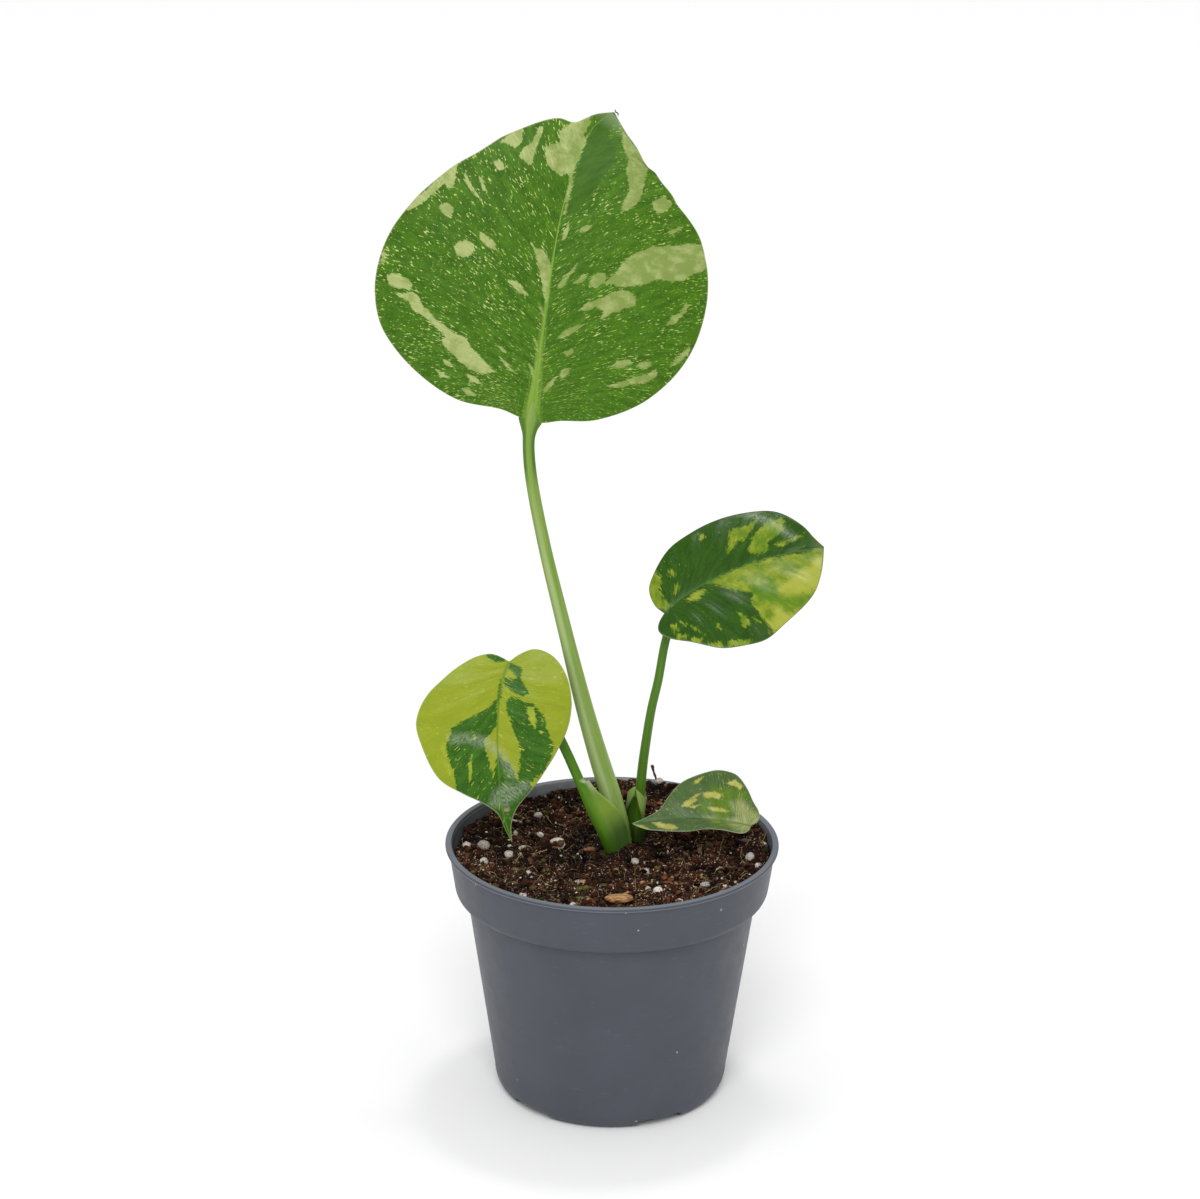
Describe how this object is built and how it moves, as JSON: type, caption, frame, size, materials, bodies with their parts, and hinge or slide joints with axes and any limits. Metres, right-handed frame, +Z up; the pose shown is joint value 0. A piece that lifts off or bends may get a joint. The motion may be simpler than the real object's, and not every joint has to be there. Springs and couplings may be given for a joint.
{
  "type": "potted monstera",
  "caption": "Young variegated monstera in a round nursery pot: leaf stalks rise from the peat, and each carries a broad heart-shaped blade.",
  "frame": {"origin": "centre of the pot's base, on the surface that it stands on", "axes": "+Z up along the pot's axis, -Y to the viewer of the picture, +X to the right"},
  "size_m": [0.1591, 0.1199, 0.3493],
  "materials": {
    "pot": "satin moulded polypropylene",
    "soil": "loose dark peat with perlite and fibres",
    "crown": "waxy green stem",
    "tall_petiole": "waxy light green skin",
    "left_petiole": "waxy green skin, darker at the foot",
    "right_petiole": "waxy green skin with pale sheath wings",
    "low_petiole": "waxy green skin",
    "tall_leaf": "satin green blade with cream and yellow-green patches",
    "left_leaf": "satin yellow-green blade with a dark green middle",
    "right_leaf": "glossy dark green blade, half of it yellow-green",
    "low_leaf": "satin grey-green blade with yellow streaks"
  },
  "bodies": {
    "root": {"pot": "pot", "soil": "soil", "crown": "crown", "tall_petiole": "tall_petiole", "left_petiole": "left_petiole", "right_petiole": "right_petiole", "low_petiole": "low_petiole", "tall_leaf": "tall_leaf", "left_leaf": "left_leaf", "right_leaf": "right_leaf", "low_leaf": "low_leaf"}
  },
  "joints": []
}
